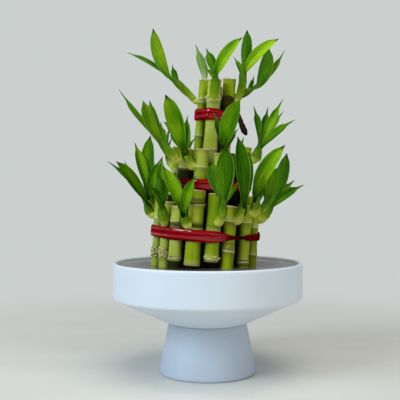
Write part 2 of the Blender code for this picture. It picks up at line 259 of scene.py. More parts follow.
class Finish:
    """A material: its node tree, and one method that adds any node."""

    def __init__(self, name):
        self.material = bpy.data.materials.new(name)
        self.material.use_nodes = True
        self.tree = self.material.node_tree
        self.shader = self.tree.nodes["Principled BSDF"]

    def node(self, kind, settings=None, sockets=None, out=0):
        """Adds a node with its settings, its sockets' values or links, and gives one output."""
        made = self.tree.nodes.new(kind)
        for key, value in (settings or {}).items():
            if key == "stops":
                self.set_stops(made.color_ramp, value)
            else:
                setattr(made, key, value)
        self.fill(made, sockets or {})
        return Wire(self, made.outputs[out])

    def fill(self, made, sockets):
        for key, value in sockets.items():
            if isinstance(value, Wire):
                self.tree.links.new(value.socket, made.inputs[key])
            else:
                made.inputs[key].default_value = value

    def set_stops(self, ramp, stops):
        for place, colour in stops[1:-1]:
            ramp.elements.new(place).color = colour
        for element, (place, colour) in zip((ramp.elements[0], ramp.elements[-1]),
                                            (stops[0], stops[-1])):
            element.position = place
            element.color = colour

    def value(self, name):
        """A value of the piece's own mesh."""
        return self.node("ShaderNodeAttribute", {"attribute_name": name}, out="Fac")

    def place(self, scale=(1.0, 1.0, 1.0)):
        """Object coordinates in metres, stretched by a scale for each axis."""
        coordinates = self.node("ShaderNodeTexCoord", out="Object")
        return self.node("ShaderNodeMapping", {}, {"Vector": coordinates, "Scale": scale})

    def distance(self, scale=(1.0, 1.0, 1.0)):
        """The distance in metres from the piece's own origin."""
        return self.node("ShaderNodeVectorMath", {"operation": "LENGTH"},
                         {0: self.place(scale)}, out="Value")

    def noise(self, where, scale, detail=3.0):
        return self.node("ShaderNodeTexNoise", {},
                         {"Vector": where, "Scale": scale, "Detail": detail})

    def spread(self, wire, low, high):
        """Maps a narrow range of a wire to the full range from 0 to 1, and clamps it."""
        return self.node("ShaderNodeMapRange", {"clamp": True},
                         {"Value": wire, "From Min": low, "From Max": high})

    def mix(self, share, first, second):
        return self.node("ShaderNodeMix", {"data_type": "RGBA"},
                         {0: share, 6: first, 7: second}, out=2)

    def relief(self, height, distance):
        return self.node("ShaderNodeBump", {}, {"Height": height, "Distance": distance})

    def vector(self, x, y, z):
        return self.node("ShaderNodeCombineXYZ", {}, {0: x, 1: y, 2: z})

    def finished(self, **sockets):
        """Sets the shader's sockets by their names, with spaces for underscores."""
        self.fill(self.shader, {key.replace("_", " "): value for key, value in sockets.items()})
        return self.material


def ceramic_finish(name, colour):
    """Matt glaze of one colour: faint clouding, and the fine unevenness of a dipped glaze."""
    made = Finish(name)
    where = made.place()
    cloud = made.spread(made.noise(where, 14.0), 0.35, 0.65)
    grain = made.noise(where, 700.0, 2.0)
    lighter = tuple(0.5 * (1.0 + channel) for channel in colour)
    base = made.mix(cloud * 0.2, (*colour, 1.0), (*lighter, 1.0))
    rough = 0.40 + grain * 0.12
    normal = made.relief(grain + made.noise(where, 60.0) * 3.0, 0.00006)
    return made.finished(Base_Color=base, Roughness=rough, Normal=normal, IOR=1.5)


# The water is dark within the first distance from the middle and clear beyond the second.
CANES_WITHIN = 46.0
CANES_CLEAR_OF = 62.0


def water_finish(settings):
    """Still water: a murky body, darker among the canes, with a mirror-like skin."""
    made = Finish("still_water")
    murk = made.spread(made.noise(made.place(), 22.0), 0.35, 0.7)
    base = made.mix(murk, (*settings.water_colour, 1.0), tint(150, 136, 122))
    from_middle = made.distance((1.0, 1.0, 0.0))
    among_canes = made.spread(from_middle, CANES_CLEAR_OF * MM, CANES_WITHIN * MM)
    base = made.mix(among_canes * (0.6 + murk * 0.4), base, tint(62, 44, 38))
    ripple = made.relief(made.noise(made.place(), 45.0, 1.0), 0.0003)
    return made.finished(Base_Color=base, Roughness=0.08, Normal=ripple, IOR=1.33)


def cane_finish(settings):
    """Waxy green stem: lengthwise streaks, a pale bloom, joint rings, scars, a straw cut and
    painted shade.
    """
    made = Finish("bamboo_cane")
    streak = made.spread(made.noise(made.place((260.0, 260.0, 14.0)), 1.0), 0.3, 0.7)
    blotch = made.spread(made.noise(made.place(), 90.0), 0.38, 0.68)
    speck = made.spread(made.noise(made.place(), 900.0, 2.0), 0.45, 0.62)
    green = made.mix(streak * 0.4 + made.value("tone") * 0.65, (*settings.cane_colour, 1.0),
                     (*settings.cane_light, 1.0))
    green = made.mix(made.value("fresh") * 0.6, green, tint(98, 146, 4))
    green = made.mix(made.value("under") * 0.8, green, tint(78, 98, 0))
    green = made.mix(made.value("chalk") * (0.3 + blotch * 0.6), green, tint(206, 208, 140))
    thread = made.spread(made.noise(made.place((900.0, 900.0, 24.0)), 1.0, 1.0), 0.45, 0.6)
    green = made.mix(made.value("fibre") * thread * 0.6, green, tint(196, 186, 80))
    brown = made.mix(blotch, tint(150, 116, 78), tint(66, 44, 20))
    worn = made.mix(made.value("scar") * (0.45 + speck * 0.7), green, brown)
    ringed = made.mix(made.value("ring") * (0.55 + blotch * 0.4), worn, tint(214, 206, 150))
    straw = made.mix(speck, tint(214, 200, 150), tint(168, 146, 92))
    pith = made.mix(made.value("pith"), straw, tint(226, 216, 172))
    dried = made.mix(made.value("dry") * (0.55 + blotch * 0.5), ringed, tint(150, 124, 70))
    bare = made.mix(made.value("cut"), dried, pith)
    # Painted shade: where the shade value is high the cane is painted near black.
    base = made.mix(made.value("shade"), bare, tint(18, 22, 2))
    rough = 0.34 + made.value("cut") * 0.4 + made.value("scar") * 0.3
    height = streak * 0.5 + speck * (made.value("scar") + made.value("cut")) * 1.2
    return made.finished(Base_Color=base, Roughness=rough, Normal=made.relief(height, 0.00022),
                         IOR=1.16)


def leaf_finish(settings):
    """Smooth leaf: veins along the blade, a pale rib, pale thin edges and a dry tip."""
    made = Finish("bamboo_leaf")
    across = made.value("across")
    along = made.value("along")
    lines = made.noise(made.vector(across * 8.0, along * 0.9, made.value("lot") * 90.0), 3.0, 2.0)
    vein = made.spread(lines, 0.36, 0.64)
    patch = made.spread(made.noise(made.place(), 70.0), 0.35, 0.65)
    share = made.value("tone") * 0.8 + vein * 0.34 + patch * 0.12 - across * across * 0.12
    blade = made.node("ShaderNodeValToRGB", {"stops": [
        (0.0, tint(6, 36, 0)), (0.3, (*settings.leaf_colour, 1.0)),
        (0.6, (*settings.leaf_light, 1.0)), (1.0, tint(168, 206, 26))]}, {"Fac": share})
    blade = made.mix(made.value("under") * 0.2, blade, tint(84, 132, 36))
    blade = made.mix(made.value("rib") * 0.4, blade, tint(130, 178, 30))
    blade = made.mix(made.value("edge") * 0.55, blade, tint(150, 190, 66))
    pale = made.value("pale")
    young = made.mix(made.spread(pale, 0.0, 0.6) * (0.7 + vein * 0.3), blade, tint(136, 166, 24))
    young = made.mix(made.spread(pale, 0.5, 1.0) * (0.6 + vein * 0.4), young, tint(206, 208, 88))
    chalky = made.mix(made.value("white") * (0.6 + vein * 0.4), young, tint(204, 212, 160))
    worn = made.mix(made.value("ring") * 0.7, chalky, tint(134, 122, 60))
    base = made.mix(made.value("dry") * (0.7 + patch * 0.3), worn, tint(40, 26, 16))
    rough = 0.36 + made.value("dry") * 0.4 + vein * 0.08
    return made.finished(Base_Color=base, Roughness=rough, Normal=made.relief(vein, 0.00004),
                         IOR=1.12)


def ribbon_finish(settings):
    """Red ribbon: wrinkled film, with painted shade in its folds and a clear glossy skin on its
    ridges.
    """
    made = Finish("red_ribbon")
    fold = made.value("fold")
    crease = made.noise(made.vector(made.value("around") * 14.0, made.value("across") * 5.0, 0.0),
                        1.0, 0.5)
    shade = made.spread(crease, 0.35, 0.7)
    # Painted shade: darker in the creases' hollows, in the folds and where the tie twists.
    base = made.mix(shade * 0.5 + fold * 0.9, (*settings.ribbon_colour, 1.0), tint(52, 0, 8))
    normal = made.relief(crease, 0.0006)
    # Painted shade where a tie lies in shadow.
    base = made.mix(made.value("shade"), base, tint(20, 0, 4))
    ridge = made.spread(fold, 0.09, 0.0) * (1.0 - made.value("shade"))
    return made.finished(Base_Color=base, Roughness=0.6, Normal=normal, IOR=1.02,
                         Coat_Weight=ridge, Coat_Roughness=0.05, Coat_IOR=1.62)


# ---- bowl, stand and water ----------------------------------------------------------------

AROUND = 192
PROFILE_STEP = 2.0
POLE = 0.5
# The curve from the bowl's inner floor to its wall: how far in from the wall, and how far up.
INNER_CURVE = ((4.0, 0.0), (1.0, 2.9), (0.0, 6.8))
STAND_EDGE = 0.8
STAND_HOLLOW = 22.0
WATER_RISE = 0.7
WATER_RISE_REACH = 1.6
WATER_DEPTH = 12.0


def arc(centre_r, centre_z, radius, start, end, steps):
    """Points (r, z) of an arc, with angles in degrees from +r toward +z."""
    angles = np.radians(np.linspace(start, end, steps))
    return np.stack([centre_r + radius * np.cos(angles), centre_z + radius * np.sin(angles)], 1)


def densely(profile, spacing):
    """The profile with points added along its long straights, a spacing apart."""
    profile = np.asarray(profile, float)
    steps = np.linalg.norm(np.diff(profile, axis=0), axis=1)
    places = np.concatenate([[0.0], np.cumsum(steps)])
    added = np.concatenate([np.linspace(a, b, max(2, int((b - a) / spacing) + 1))
                            for a, b in zip(places[:-1], places[1:])])
    added = np.unique(added.round(6))
    return np.stack([np.interp(added, places, profile[:, k]) for k in range(2)], axis=1)


def turned_skin(profile):
    """A profile of (r, z) carried round Z: the point is (r cos a, r sin a, z)."""
    angles = circle(AROUND)
    r, z = profile[:, :1], profile[:, 1:]
    rings = np.stack([r * np.cos(angles), r * np.sin(angles), z + 0 * angles], axis=-1)
    return Skin(rings, {})


def bowl_profile(settings):
    """From the middle of the inner floor up the wall, over the lip and down to the seat."""
    low, high = node_box("bowl")
    radius, rim, seat = (high[0] - low[0]) / 2, high[2], low[2]
    wall, corner = settings.wall / MM, settings.corner / MM
    band_foot, seat_radius = rim - settings.band / MM, settings.neck / MM
    slope = (band_foot - seat) / (radius - seat_radius)
    floor = seat + settings.floor / MM
    inner = radius - wall
    inside = floor + slope * (inner - INNER_CURVE[0][0] - seat_radius)
    lip = wall / 2
    tilt = math.degrees(math.atan(slope))
    foot_z = band_foot + corner * 0.8
    return np.vstack([
        [(POLE, floor), (seat_radius, floor)],
        [(inner - back, inside + up) for back, up in INNER_CURVE],
        arc(radius - lip, rim - lip, lip, 180, 0, 17),
        arc(radius - corner, foot_z, corner, 0, tilt - 90, 13),
        [(seat_radius + 1.2, seat + 0.3), (seat_radius + 0.3, seat), (POLE, seat)],
    ])


def stand_profile(settings):
    """From the middle of the top down the flared side, round the foot and up inside."""
    low, high = node_box("stand")
    foot, top, neck = (high[0] - low[0]) / 2, high[2], settings.neck / MM
    edge, wall = settings.foot_edge / MM, settings.stand_wall / MM
    roof = top - wall
    slope = (foot - neck) / (top - edge)
    inside = foot - wall
    return np.vstack([
        [(POLE, top), (neck - STAND_EDGE, top)],
        arc(neck - STAND_EDGE, top - STAND_EDGE, STAND_EDGE, 90, 12, 7),
        arc(foot - edge, edge, edge, 0, -90, 13),
        [(inside - 0.6, 0.0), (inside - 1.2, 0.8)],
        [(inside - 1.2 - slope * (roof - 3.0), roof - 2.2), (STAND_HOLLOW, roof), (POLE, roof)],
    ])


def water_profile(settings):
    """A level skin that creeps up the wall, and a body down to the bowl's floor."""
    low, high = node_box("water")
    wall, level, bottom = (high[0] - low[0]) / 2, high[2], low[2]
    reach = np.linspace(0.0, 1.0, 40) ** 0.6 * (wall - 0.2)
    rise = WATER_RISE * hill(wall - reach, WATER_RISE_REACH)
    skin = np.stack([np.maximum(reach, 0.4), level - 0.1 + rise], axis=1)
    body = [(wall - 0.4, level - WATER_DEPTH), (settings.neck / MM, bottom), (0.4, bottom)]
    return np.vstack([skin, body])


# ---- canes --------------------------------------------------------------------------------

CANE_SIDES = 44
SHOWN_FROM = 82.0
JOINT_STEP = 17.0
RING_STEP = 1.3
FINE_RINGS = 17
JOINT_REACH = 2.4
MARK_REACH = 2.0
# The rings that close an end, as shares of the cane's radius, and how far its side lies inside
# its box before its features are added.
END_FACE = (0.97, 0.9, 0.78, 0.6, 0.4, 0.2)
SIDE_INSET = 0.32
# How far each feature of a cane's side stands out, and its reach along the cane.
SWELLING = (0.28, 3.4)
RIDGE = (0.20, 0.5)
WAIST = (0.15, 7.0)
FLARE = (0.25, 1.6)
# How far a joint's plane and a cut top tip from level, and how far a cane strays sideways.
JOINT_TIP = 0.6
TOP_TIP = 0.9
WOBBLE = 0.35

# Heights in these tables are h in the bundle's frame. The first holds the joints that show
# clearly; a cane that isn't listed takes its joints by chance.
JOINTS = {
    "low_cane_02": (91.5,), "low_cane_03": (91.0, 119.0), "low_cane_04": (113.5, 87.0),
    "low_cane_05": (113.0, 93.0), "low_cane_06": (98.8, 121.5), "low_cane_07": (90.5, 121.0),
    "low_cane_08": (97.0, 118.0), "middle_cane_2": (160.5,), "middle_cane_1": (160.0,),
    "tall_cane_left": (213.0, 186.4), "tall_cane_front": (214.0, 176.0),
    "tall_cane_right": (214.0, 194.0), "low_cane_01": (93.0, 120.0),
}
# Brown marks on a cane: azimuth, height, width round the cane and reach along it.
MARKS = {
    "low_cane_04": [(0, 137.0, 40.0, 0.6), (-5, 135.6, 12.0, 1.2), (10, 134.4, 40.0, 0.6),
                    (-10, 132.8, 14.0, 0.8), (-5, 118.0, 9.0, 1.2)],
    "low_cane_06": [(20, 101.5, 9.0, 2.6), (35, 120.0, 6.0, 3.0), (0, 98.2, 18.0, 0.5),
                    (-20, 101.0, 4.0, 1.2), (25, 105.0, 10.0, 0.6)],
    "low_cane_07": [(52, 91.0, 12.0, 2.4), (60, 117.0, 4.0, 1.5), (10, 92.6, 12.0, 0.9),
                    (20, 89.0, 16.0, 1.0)],
    "low_cane_03": [(-36, 91.5, 9.0, 1.4), (-10, 92.4, 14.0, 0.9), (0, 116.0, 30.0, 2.2)],
    "low_cane_08": [(70, 98.5, 6.0, 1.6), (70, 106.0, 6.0, 3.0)],
    "tall_cane_front": [(0, 215.0, 9.0, 3.2)],
    "tall_cane_right": [(20, 213.5, 9.0, 3.6)],
    "middle_cane_1": [(-10, 163.0, 16.0, 2.6), (0, 160.0, 16.0, 1.6)],
    "tall_cane_left": [(10, 214.5, 12.0, 0.8)],
    "low_cane_01": [(-20, 94.0, 22.0, 3.6)], "low_cane_02": [(0, 93.5, 22.0, 3.6)],
}
# A ring of root buds: its height, and how many buds it has.
ROOT_BUDS = {
    "low_cane_01": (94.0, 64), "low_cane_02": (93.5, 64), "low_cane_05": (94.0, 14),
    "tall_cane_left": (216.0, 14), "tall_cane_front": (217.0, 18),
}
# A collar's height, how tall it stands and how pale its paper is.
COLLARS = {"low_cane_04": (131.0, 1.5, 0.85), "tall_cane_right": (211.5, 3.6, 0.0)}

# How light a cane is, from 0 to 1.
CANE_TONES = {
    "low_cane_01": 0.55, "low_cane_02": 0.70, "low_cane_03": 0.72, "low_cane_04": 0.25,
    "low_cane_05": 0.22, "low_cane_06": 0.35, "low_cane_07": 0.60, "low_cane_08": 0.25,
    "tall_cane_front": 0.75, "tall_cane_left": 0.60, "tall_cane_right": 0.35,
    "middle_cane_1": 0.35, "middle_cane_2": 0.60, "middle_cane_3": 0.65,
}
PLAIN_CANE_TONE = 0.45
# The heights between which torn fibres hang on a cane.
FIBRES = {"low_cane_04": (119.0, 131.0), "middle_cane_2": (162.0, 176.0)}
# Dark bands round a cane: height, reach along the cane and strength.
# Those at 116.5 to 116.6 are painted shade above the low tie; low_cane_04's upper two are dark
# rings.
DARK_RINGS_AND_SHADE_BANDS = {
    "low_cane_03": [(116.6, 2.0, 0.65)], "low_cane_05": [(116.5, 2.0, 0.45)],
    "low_cane_04": [(135.8, 0.5, 0.5), (133.4, 0.8, 0.6), (116.6, 2.2, 0.9)],
}
# The height under which a cane is painted near black as painted shade, and how strong a cane's
# pale bloom is.
SHADED_BELOW = {"low_cane_03": 90.2, "low_cane_07": 86.5}
BLOOM = {
    "low_cane_01": 0.35, "low_cane_02": 0.35, "low_cane_03": 0.45, "low_cane_07": 0.10,
    "tall_cane_front": 0.45, "middle_cane_2": 0.2, "middle_cane_3": 0.3,
}
# The height under which the canes of a tier, or one cane, fade into shade, and over how much.
DEPTHS = {"low": (60.0, 14.0), "middle": (157.0, 14.0), "tall": (172.0, 14.0),
          "middle_cane_1": (161.0, 4.0)}
# How near to black the painted shade goes: below a tier's height, and on the sides that face into
# the bundle.
DARKEST = 0.96
DARKEST_BETWEEN = 0.88


def bump(distance, shape):
    """A bell as high as the shape's first number and as wide as its second."""
    return shape[0] * hill(distance, shape[1])


def joint_heights(cane, chance):
    """The listed joints, and then further ones down the cane at uneven steps."""
    joints = list(JOINTS.get(cane.name, (cane.top - 18.0 - 4.0 * chance.random(),)))
    while min(joints) > SHOWN_FROM:
        joints.append(min(joints) - JOINT_STEP * (0.8 + 0.5 * chance.random()))
    return np.array(joints)


def cane_stations(cane, joints):
    """Heights of the rings: close together where the cane shows, and closest at its joints."""
    start = max(cane.bottom + 0.6, SHOWN_FROM - 2.0)
    side = np.arange(start, cane.top - 0.5, RING_STEP)
    marks = np.array([mark[1] for mark in MARKS.get(cane.name, ())])
    near = np.concatenate([
        (places[:, None] + np.linspace(-reach, reach, FINE_RINGS)).ravel()
        for places, reach in ((joints, JOINT_REACH), (marks, MARK_REACH))])
    heights = np.concatenate([[cane.bottom + 0.5], side, near, [cane.top - 0.45]])
    kept = (heights > cane.bottom + 0.4) & (heights < cane.top - 0.4)
    return np.unique(heights[kept].round(2))


def cane_skin(cane, seed):
    """A slightly uneven cane: radius = (its own + joints - waist + flare) times (1 + lobes).

    Each joint is a soft swelling with a sharp low ridge, on a plane that tips a little, and
    the waist lies between joints. The ends are closed by flat rings that dish towards the
    middle.
    """
    chance = np.random.default_rng(seed)
    joints = joint_heights(cane, chance)
    heights = cane_stations(cane, joints)
    angles = circle(CANE_SIDES)
    azimuth = np.degrees(angles)[None, :] + 90.0
    phase = chance.random(4) * 2 * math.pi
    face = np.array(END_FACE)
    ends = np.ones(len(face))
    h = np.concatenate([cane.bottom * ends, heights, cane.top * ends])[:, None]
    share = np.concatenate([face[::-1], np.ones(len(heights)), face])[:, None]
    tip = (0.5 + 0.5 * np.sin(angles + phase[0])) * TOP_TIP
    offset = h - joints[None, :]
    tipped = offset[:, :, None] - JOINT_TIP * np.sin(angles + phase[1])[None, None, :]
    swell = np.sum(bump(tipped, SWELLING) + bump(tipped, RIDGE), axis=1)
    lobes = 0.012 * np.sin(2 * angles + phase[2]) \
        + 0.010 * np.sin(3 * angles + phase[3] + h * 0.03)
    waist = np.max(bump(offset, WAIST), axis=1, keepdims=True) - WAIST[0]
    flare = bump(h - cane.top, FLARE)
    radius = (cane.radius - SIDE_INSET + swell + waist + flare) * (1 + lobes) * share
    wobble = WOBBLE * np.sin(h / 21.0 + phase[0])
    inset = 0.5 * (1.0 - share) - 0.35 * (share > 0.95) * (share < 1)
    dish = np.where(h > cane.top - 1.0, -0.8, 0.8) * inset
    rings = np.stack([
        cane.u + wobble + radius * np.cos(angles),
        cane.v + 0.7 * wobble + radius * np.sin(angles),
        h + dish - tip[None, :] * eased((h - cane.top + 5.0) / 5.0),
    ], axis=-1)
    values = cane_values(cane, h, share, azimuth, tipped, chance)
    return Skin(from_bundle(rings), values)


def cane_values(cane, h, share, azimuth, tipped, chance):
    """Where a cane is ringed, scarred, painted with shade, dried or cut, as numbers from 0 to 1.
    """
    ring = np.max(hill(tipped, 0.55), axis=1)
    under = np.max(hill(np.clip(-tipped, 0, None), 4.5) * (tipped < 0), axis=1) * 0.75
    chalk = 0.45 * np.max(hill(tipped - 2.0, 1.6) * (tipped > 0), axis=1)
    chalk = np.maximum(chalk, BLOOM.get(cane.name, 0.0))
    scar = np.zeros_like(ring)
    for around, height, width, tall in MARKS.get(cane.name, ()):
        aside = (azimuth - around + 180.0) % 360.0 - 180.0
        arc_length = np.radians(aside) * cane.radius
        scar = np.maximum(scar, hill(arc_length, width / 2) * hill(h - height, tall))
    cut = (share < 1.0) * np.ones_like(ring)
    outward = unit(np.array([cane.u, cane.v]))
    angle = np.radians(azimuth - 90.0)
    facing = -np.cos(angle) * outward[0] - np.sin(angle) * outward[1]
    # Painted shade: canes fade to near black below the height listed for their tier or name.
    dark_under, fade = DEPTHS.get(cane.name, DEPTHS[cane.name.split("_")[0]])
    depth = (dark_under - h) / fade
    # Painted shade: the sides that face into the bundle are darker, less so near the cane's top.
    between = DARKEST_BETWEEN * eased((facing + 0.75) / 1.2) * eased((cane.top - h) / 22.0)
    shade = np.maximum(between, DARKEST * eased(depth))
    # Painted shade above the low tie, and dark rings near low_cane_04's top.
    for height, tall, strength in DARK_RINGS_AND_SHADE_BANDS.get(cane.name, ()):
        shade = np.maximum(shade, strength * hill(h - height, tall))
    # Painted shade: a cane is near black under its listed height.
    shade = np.maximum(shade, DARKEST * eased((SHADED_BELOW.get(cane.name, 0.0) - h) / 1.6))
    low, high = FIBRES.get(cane.name, (0.0, 0.0))
    fibre = eased((h - low) / 2.0) * eased((high - h) / 2.0) * (high > 0.0)
    dry = hill(h - cane.top, 1.5) + hill(h - cane.bottom, 1.6)
    return {
        "ring": ring, "under": under, "chalk": chalk, "scar": scar, "cut": cut,
        "dry": np.clip(dry, 0, 1) * (share == 1.0), "pith": hill(share, 0.35) * (share < 1.0),
        "tone": CANE_TONES.get(cane.name, PLAIN_CANE_TONE), "fibre": fibre,
        "fresh": 0.5 * chance.random() * eased((h - 88.0) / 30.0),
        "shade": shade * (share == 1.0),
    }


BUD_RADII = [0.85, 0.8, 0.6, 0.3]
BUD_SIDES = 8
BUD_SPREAD = 0.13
BUD_SUNK = 0.7
COLLAR_AROUND = 160
COLLAR_SIDES = 14
COLLAR_FLARE = 1.3


def bud_skins(cane, height, count, seed):
    """Root buds: short blunt cones that stand out of a joint and bend down."""
    chance = np.random.default_rng(seed)
    skins = []
    for azimuth in np.linspace(0, 360, count, endpoint=False) + 20 * chance.random(count):
        out = toward(azimuth) @ TURN.T
        level = height + BUD_SPREAD * count * (chance.random() - 0.5)
        start = from_bundle(np.array([cane.u, cane.v, level]))
        start = start + out * (cane.radius - BUD_SUNK)
        end = start + out * (1.1 + 0.4 * chance.random()) - np.array([0, 0, 0.4])
        skins.append(round_skin(start, (start + end) / 2 + out * 0.3, end, BUD_RADII,
                                {"chalk": 1.0, "ring": 1.0}, BUD_SIDES))
    return skins


def collar_skin(cane, height, standing, paleness, seed):
    """A torn papery collar: a thin band round the cane that flares at the front.

    Its edge is ragged: the height follows a sum of sines, sin(n a) / n.
    """
    chance = np.random.default_rng(seed)
    around = circle(COLLAR_AROUND)[:, None]
    section = circle(COLLAR_SIDES)[None, :]
    ragged = sum(np.sin(turns * around + 6.3 * chance.random()) / turns
                 for turns in (1, 3, 7, 16))
    tall = standing + 0.8 * ragged
    rise = 0.5 + 0.5 * np.cos(section)
    front = 0.5 - 0.5 * np.sin(around)
    flare = COLLAR_FLARE * front * rise ** 2 * (0.7 + 0.3 * ragged)
    reach = cane.radius + 0.05 + 0.4 * front + flare + 0.12 * np.sin(section)
    rings = np.stack([cane.u + reach * np.cos(around), cane.v + reach * np.sin(around),
                      height + tall * rise * 1.6 + 0.6 * np.sin(around + 2.0)], axis=-1)
    values = {"cut": paleness, "scar": 1.0 - 0.5 * rise * paleness + 0 * around,
              "shade": 0.8 * (1.0 - paleness)}
    return Skin(from_bundle(rings), values, ends=False)


def curve_points(start, middle, end, t):
    """The quadratic curve from start to end that leaves start toward middle."""
    t = np.asarray(t)[:, None]
    return start * (1 - t) ** 2 + middle * 2 * t * (1 - t) + end * t ** 2


SIDEWAYS = np.array([0.31, 0.22, 0.93])


def rod_rings(line, radii, sides):
    """Round rings square to a line, all started from one sideways direction."""
    ahead = unit(np.gradient(line, axis=0))
    first = across_from(np.broadcast_to(SIDEWAYS, line.shape), ahead)
    second = np.cross(ahead, first)
    angles = circle(sides)[:, None]
    around = np.cos(angles) * first[:, None, :] + np.sin(angles) * second[:, None, :]
    return line[:, None, :] + radii[:, None, None] * around


def round_skin(start, middle, end, radii, values, sides):
    """A round rod along a quadratic curve, with radii spread evenly from start to end."""
    t = np.linspace(0, 1, len(radii))
    line = curve_points(start, middle, end, t)
    return Skin(rod_rings(line, np.array(radii), sides), values)


# ---- ties ---------------------------------------------------------------------------------

OUTLINE_STEPS = 1440
TIE_AROUND = 480
TIE_SIDES = 36
TIE_GAP = 0.1
Strand = namedtuple("Strand", "middle width swing turns phase")

# How tall a tie is at azimuths all round it.
TIE_HEIGHTS = {
    "low_tie": [(-180, 7.5), (-90, 8.5), (-30, 9.0), (8, 8.8), (17, 6.8), (25, 3.6), (30, 2.6),
                (43, 2.4), (47, 4.8), (58, 5.2), (120, 6.5), (180, 7.5)],
    "middle_tie": [(-180, 7.0), (-40, 7.6), (0, 8.0), (40, 6.6), (180, 7.0)],
    "top_tie": [(-180, 8.6), (-20, 9.4), (10, 8.6), (40, 5.6), (70, 6.0), (180, 8.6)],
}
# How much painted shade darkens a tie at azimuths all round it, from 0 to 1, where it lies in
# shadow.
TIE_SHADES = {
    "low_tie": [(-180, 0.0), (13, 0.0), (24, 0.45), (110, 0.45), (180, 0.0)],
    "middle_tie": [(-180, 0.2), (-75, 0.75), (-24, 0.75), (-13, 0.0), (180, 0.2)],
    "top_tie": [(-180, 0.0), (25, 0.0), (50, 0.4), (110, 0.4), (180, 0.0)],
}
# The strands that a tie is wound from. Middle, width and swing are shares of half its height.
STRANDS = [
    Strand(0.52, 0.62, 0.10, 2, 0.3), Strand(-0.45, 0.66, 0.14, 3, 2.1),
    Strand(0.05, 0.45, 0.40, 1, 1.2),
]


def outline_round(canes, distance):
    """The taut line round a group of canes, evenly spaced, with its outward directions.

    For each direction the farthest cane gives a point; straight runs fill in between.
    """
    angles = circle(OUTLINE_STEPS)
    out = np.stack([np.cos(angles), np.sin(angles)], axis=1)
    centres = np.array([[c.u, c.v] for c in canes])
    reach = np.array([c.radius for c in canes]) + distance
    farthest = np.argmax(out @ centres.T + reach, axis=1)
    corner = centres[farthest] + reach[farthest][:, None] * out
    loop = np.vstack([corner, corner[:1]])
    places = np.concatenate([[0], np.cumsum(np.linalg.norm(np.diff(loop, axis=0), axis=1))])
    even = np.linspace(0, places[-1], TIE_AROUND, endpoint=False)
    line = np.stack([np.interp(even, places, loop[:, k]) for k in range(2)], axis=1)
    ahead = unit(np.roll(line, -2, axis=0) - np.roll(line, 2, axis=0))
    return line, np.stack([ahead[:, 1], -ahead[:, 0]], axis=1)


def tie_skin(name, group, lift, seed):
    """A wound band: its thickness at each place is that of the thickest strand there.

    A strand's thickness is a half ellipse over its width, and its middle swings up and down
    as it goes round.
    """
    low, high = node_box(name)
    middle = to_bundle((low + high) / 2)[2]
    canes = [cane for cane in CANES.values() if cane.name.startswith(group)]
    line, out = outline_round(canes, TIE_GAP)
    chance = np.random.default_rng(seed)
    centre = (line.min(axis=0) + line.max(axis=0)) / 2
    azimuth = np.degrees(np.arctan2(line[:, 0] - centre[0], centre[1] - line[:, 1]))
    height = np.interp(azimuth, *np.array(TIE_HEIGHTS[name]).T)[:, None]
    around = circle(TIE_AROUND)[:, None]
    angles = circle(TIE_SIDES)[None, :]
    across, outside = np.cos(angles), np.sin(angles)
    relief = np.zeros((TIE_AROUND, TIE_SIDES))
    for strand in STRANDS:
        place = strand.middle + strand.swing * np.sin(strand.turns * around + strand.phase)
        inside = np.clip(1 - ((across - place) / strand.width) ** 2, 0, 1)
        relief = np.maximum(relief, np.sqrt(inside))
    wrinkle = sum(0.035 * np.sin(turns * around + 5.0 * across + chance.random() * 6.3)
                  for turns in (9, 17, 31))
    bulge = 0.35 + 0.75 * relief + wrinkle * relief
    thick = np.where(outside > 0, np.sqrt(np.abs(outside)) * bulge, 0.25 * outside)
    spread = line[:, None, :] + out[:, None, :] * (0.25 + thick)[:, :, None]
    rise = middle + lift * np.sin(around + 0.6) + across * height / 2
    rings = np.concatenate([spread, rise[:, :, None]], axis=-1)
    # Painted shade: where a tie twists thin it counts as a fold and is painted dark.
    twist = 1 - eased((height - 2.0) / 4.5)
    shade = np.interp(azimuth, *np.array(TIE_SHADES[name]).T)[:, None]
    values = {"fold": np.maximum(1 - relief, 0.8 * twist), "around": around / (2 * math.pi),
              "across": across * height / 8.0, "shade": shade}
    return Skin(from_bundle(rings), values, ends=False)


# ---- shoots -------------------------------------------------------------------------------

